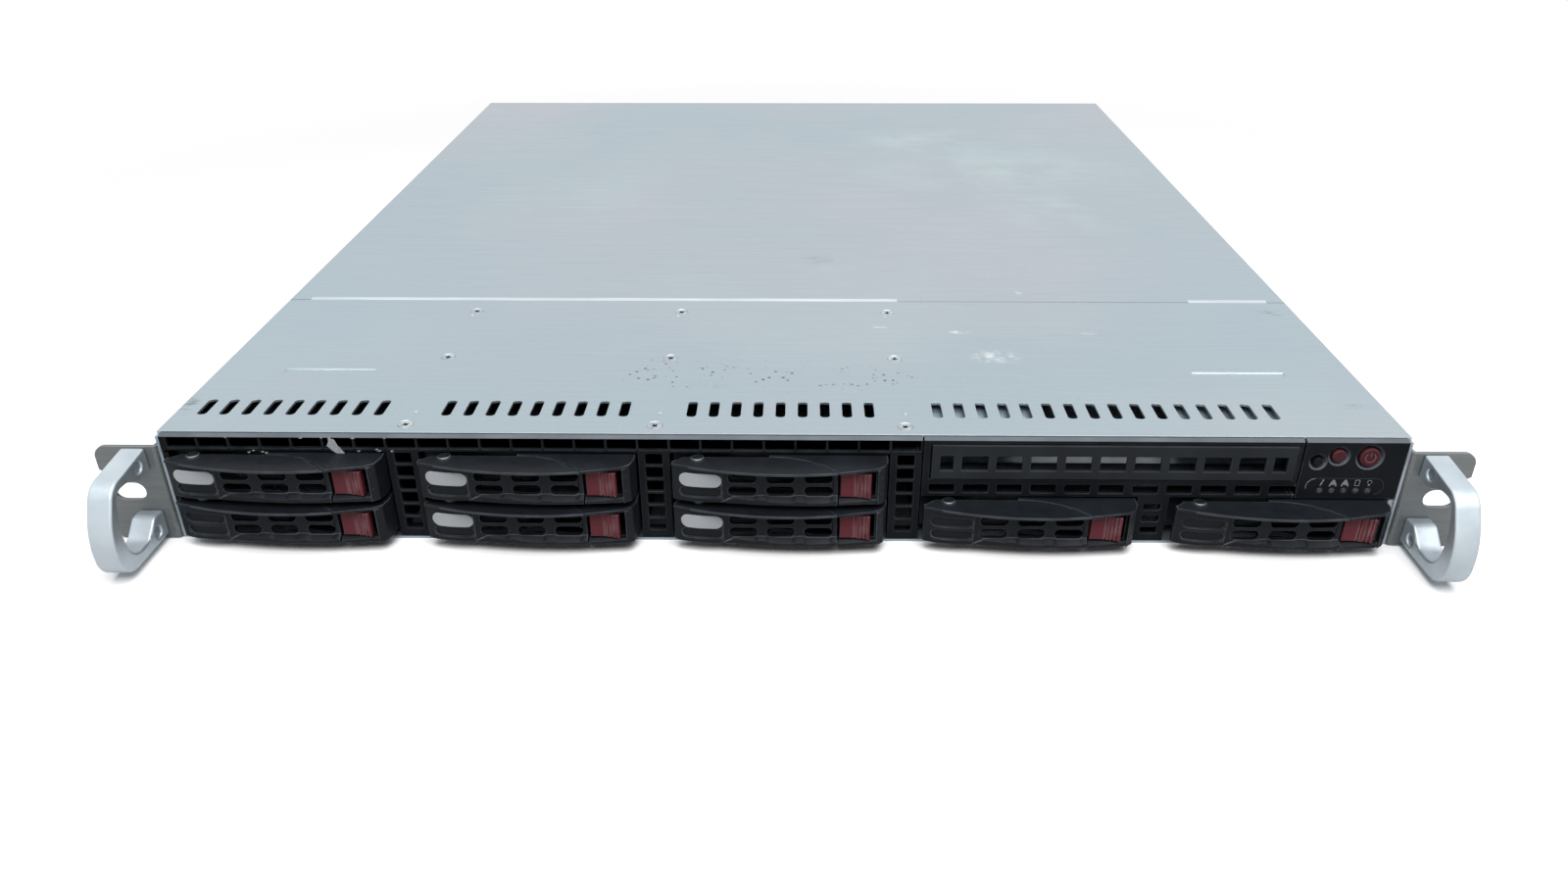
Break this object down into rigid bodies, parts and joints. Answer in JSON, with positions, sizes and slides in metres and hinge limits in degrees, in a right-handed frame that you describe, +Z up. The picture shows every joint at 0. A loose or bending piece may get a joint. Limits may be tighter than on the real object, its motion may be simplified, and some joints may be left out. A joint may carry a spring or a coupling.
{
  "type": "rack server",
  "caption": "Flat rack computer server with swinging-lever drive carriers, a front grille, control panel, rack ears with loop handles and a sliding top cover.",
  "frame": {"origin": "on the underside, below the middle of the whole object's box", "axes": "+X to the right seen from the front, +Y to the rear, +Z up"},
  "size_m": [0.4826, 0.541, 0.043],
  "materials": {
    "chassis_steel": "bluish grey galvanised sheet",
    "handle_metal": "satin silver",
    "black_plastic": "fine matte black",
    "carrier_plastic": "matte black with worn edges",
    "latch_plastic": "dark red",
    "button_plastic": "dark red",
    "id_button_plastic": "matte black",
    "clear_plastic": "milky clear",
    "drive_case": "bead-blasted",
    "board": "green solder mask",
    "fan_plastic": "matte black",
    "sink_metal": "milled",
    "port_metal": "plated shells",
    "supply_case": "plain sheet",
    "cable": "sheathed"
  },
  "bodies": {
    "chassis": {"chassis_tray": "chassis_steel", "front_top_panel": "chassis_steel", "front_grille": "black_plastic", "optical_bay_blank": "black_plastic", "control_panel": "black_plastic", "status_light_pipes": "clear_plastic", "drive_cage": "chassis_steel", "drive_backplane": "board", "left_rack_ear": "chassis_steel", "right_rack_ear": "chassis_steel", "left_handle": "handle_metal", "right_handle": "handle_metal", "fan_frames": "fan_plastic", "motherboard": "board", "cpu_heat_sink": "sink_metal", "memory_modules": "board", "rear_connectors": "port_metal", "expansion_slot_cover": "chassis_steel", "power_supply": "supply_case", "internal_cables": "cable"},
    "top_cover": {"top_cover": "chassis_steel"},
    "carrier_1": {"carrier_1_tray": "carrier_plastic", "carrier_1_drive": "drive_case"},
    "lever_1": {"carrier_1_lever": "carrier_plastic"},
    "latch_1": {"carrier_1_latch": "latch_plastic"},
    "carrier_2": {"carrier_2_tray": "carrier_plastic", "carrier_2_drive": "drive_case"},
    "lever_2": {"carrier_2_lever": "carrier_plastic"},
    "latch_2": {"carrier_2_latch": "latch_plastic"},
    "carrier_3": {"carrier_3_tray": "carrier_plastic", "carrier_3_drive": "drive_case"},
    "lever_3": {"carrier_3_lever": "carrier_plastic"},
    "latch_3": {"carrier_3_latch": "latch_plastic"},
    "carrier_4": {"carrier_4_tray": "carrier_plastic", "carrier_4_drive": "drive_case"},
    "lever_4": {"carrier_4_lever": "carrier_plastic"},
    "latch_4": {"carrier_4_latch": "latch_plastic"},
    "carrier_5": {"carrier_5_tray": "carrier_plastic", "carrier_5_drive": "drive_case"},
    "lever_5": {"carrier_5_lever": "carrier_plastic"},
    "latch_5": {"carrier_5_latch": "latch_plastic"},
    "carrier_6": {"carrier_6_tray": "carrier_plastic", "carrier_6_drive": "drive_case"},
    "lever_6": {"carrier_6_lever": "carrier_plastic"},
    "latch_6": {"carrier_6_latch": "latch_plastic"},
    "carrier_7": {"carrier_7_tray": "carrier_plastic", "carrier_7_drive": "drive_case"},
    "lever_7": {"carrier_7_lever": "carrier_plastic"},
    "latch_7": {"carrier_7_latch": "latch_plastic"},
    "carrier_8": {"carrier_8_tray": "carrier_plastic", "carrier_8_drive": "drive_case"},
    "lever_8": {"carrier_8_lever": "carrier_plastic"},
    "latch_8": {"carrier_8_latch": "latch_plastic"},
    "power_button": {"power_button": "button_plastic"},
    "reset_button": {"reset_button": "button_plastic"},
    "id_button": {"id_button": "id_button_plastic"},
    "fan_rotor_1": {"fan_rotor_1": "fan_plastic"},
    "fan_rotor_2": {"fan_rotor_2": "fan_plastic"},
    "fan_rotor_3": {"fan_rotor_3": "fan_plastic"},
    "supply_fan_rotor": {"supply_fan_rotor": "fan_plastic"}
  },
  "joints": [
    {"name": "top_cover_slide", "type": "slide", "parent": "chassis", "child": "top_cover", "axis": [0, 1, 0], "range_m": [0, 0.36]},
    {"name": "carrier_1_slide", "type": "slide", "parent": "chassis", "child": "carrier_1", "axis": [0, -1, 0], "range_m": [0, 0.125]},
    {"name": "lever_1_swing", "type": "hinge", "parent": "carrier_1", "child": "lever_1", "pos_m": [-0.2054, -0.2409, 0.0284], "axis": [0, 0, -1], "range_deg": [0, 45]},
    {"name": "latch_1_slide", "type": "slide", "parent": "carrier_1", "child": "latch_1", "axis": [1, 0, 0], "range_m": [0, 0.0018], "stiffness_N_per_m": 700, "springref_m": -0.0008},
    {"name": "carrier_2_slide", "type": "slide", "parent": "chassis", "child": "carrier_2", "axis": [0, -1, 0], "range_m": [0, 0.125]},
    {"name": "lever_2_swing", "type": "hinge", "parent": "carrier_2", "child": "lever_2", "pos_m": [-0.2054, -0.2409, 0.0114], "axis": [0, 0, -1], "range_deg": [0, 45]},
    {"name": "latch_2_slide", "type": "slide", "parent": "carrier_2", "child": "latch_2", "axis": [1, 0, 0], "range_m": [0, 0.0018], "stiffness_N_per_m": 700, "springref_m": -0.0008},
    {"name": "carrier_3_slide", "type": "slide", "parent": "chassis", "child": "carrier_3", "axis": [0, -1, 0], "range_m": [0, 0.125]},
    {"name": "lever_3_swing", "type": "hinge", "parent": "carrier_3", "child": "lever_3", "pos_m": [-0.117, -0.2409, 0.0284], "axis": [0, 0, -1], "range_deg": [0, 45]},
    {"name": "latch_3_slide", "type": "slide", "parent": "carrier_3", "child": "latch_3", "axis": [1, 0, 0], "range_m": [0, 0.0018], "stiffness_N_per_m": 700, "springref_m": -0.0008},
    {"name": "carrier_4_slide", "type": "slide", "parent": "chassis", "child": "carrier_4", "axis": [0, -1, 0], "range_m": [0, 0.125]},
    {"name": "lever_4_swing", "type": "hinge", "parent": "carrier_4", "child": "lever_4", "pos_m": [-0.117, -0.2409, 0.0114], "axis": [0, 0, -1], "range_deg": [0, 45]},
    {"name": "latch_4_slide", "type": "slide", "parent": "carrier_4", "child": "latch_4", "axis": [1, 0, 0], "range_m": [0, 0.0018], "stiffness_N_per_m": 700, "springref_m": -0.0008},
    {"name": "carrier_5_slide", "type": "slide", "parent": "chassis", "child": "carrier_5", "axis": [0, -1, 0], "range_m": [0, 0.125]},
    {"name": "lever_5_swing", "type": "hinge", "parent": "carrier_5", "child": "lever_5", "pos_m": [-0.0286, -0.2409, 0.0284], "axis": [0, 0, -1], "range_deg": [0, 45]},
    {"name": "latch_5_slide", "type": "slide", "parent": "carrier_5", "child": "latch_5", "axis": [1, 0, 0], "range_m": [0, 0.0018], "stiffness_N_per_m": 700, "springref_m": -0.0008},
    {"name": "carrier_6_slide", "type": "slide", "parent": "chassis", "child": "carrier_6", "axis": [0, -1, 0], "range_m": [0, 0.125]},
    {"name": "lever_6_swing", "type": "hinge", "parent": "carrier_6", "child": "lever_6", "pos_m": [-0.0286, -0.2409, 0.0114], "axis": [0, 0, -1], "range_deg": [0, 45]},
    {"name": "latch_6_slide", "type": "slide", "parent": "carrier_6", "child": "latch_6", "axis": [1, 0, 0], "range_m": [0, 0.0018], "stiffness_N_per_m": 700, "springref_m": -0.0008},
    {"name": "carrier_7_slide", "type": "slide", "parent": "chassis", "child": "carrier_7", "axis": [0, -1, 0], "range_m": [0, 0.125]},
    {"name": "lever_7_swing", "type": "hinge", "parent": "carrier_7", "child": "lever_7", "pos_m": [0.0598, -0.2409, 0.0114], "axis": [0, 0, -1], "range_deg": [0, 45]},
    {"name": "latch_7_slide", "type": "slide", "parent": "carrier_7", "child": "latch_7", "axis": [1, 0, 0], "range_m": [0, 0.0018], "stiffness_N_per_m": 700, "springref_m": -0.0008},
    {"name": "carrier_8_slide", "type": "slide", "parent": "chassis", "child": "carrier_8", "axis": [0, -1, 0], "range_m": [0, 0.125]},
    {"name": "lever_8_swing", "type": "hinge", "parent": "carrier_8", "child": "lever_8", "pos_m": [0.1482, -0.2409, 0.0114], "axis": [0, 0, -1], "range_deg": [0, 45]},
    {"name": "latch_8_slide", "type": "slide", "parent": "carrier_8", "child": "latch_8", "axis": [1, 0, 0], "range_m": [0, 0.0018], "stiffness_N_per_m": 700, "springref_m": -0.0008},
    {"name": "power_button_press", "type": "slide", "parent": "chassis", "child": "power_button", "axis": [0, 1, 0], "range_m": [0, 0.001], "stiffness_N_per_m": 1500, "springref_m": -0.0004},
    {"name": "reset_button_press", "type": "slide", "parent": "chassis", "child": "reset_button", "axis": [0, 1, 0], "range_m": [0, 0.001], "stiffness_N_per_m": 1500, "springref_m": -0.0004},
    {"name": "id_button_press", "type": "slide", "parent": "chassis", "child": "id_button", "axis": [0, 1, 0], "range_m": [0, 0.001], "stiffness_N_per_m": 1500, "springref_m": -0.0004},
    {"name": "fan_1_spin", "type": "hinge", "parent": "chassis", "child": "fan_rotor_1", "pos_m": [-0.1326, -0.0755, 0.0211], "axis": [0, 1, 0], "continuous": true},
    {"name": "fan_2_spin", "type": "hinge", "parent": "chassis", "child": "fan_rotor_2", "pos_m": [-0.0442, -0.0755, 0.0211], "axis": [0, 1, 0], "continuous": true},
    {"name": "fan_3_spin", "type": "hinge", "parent": "chassis", "child": "fan_rotor_3", "pos_m": [0.0442, -0.0755, 0.0211], "axis": [0, 1, 0], "continuous": true},
    {"name": "supply_fan_spin", "type": "hinge", "parent": "chassis", "child": "supply_fan_rotor", "pos_m": [0.1445, 0.2495, 0.021], "axis": [0, 1, 0], "continuous": true}
  ]
}
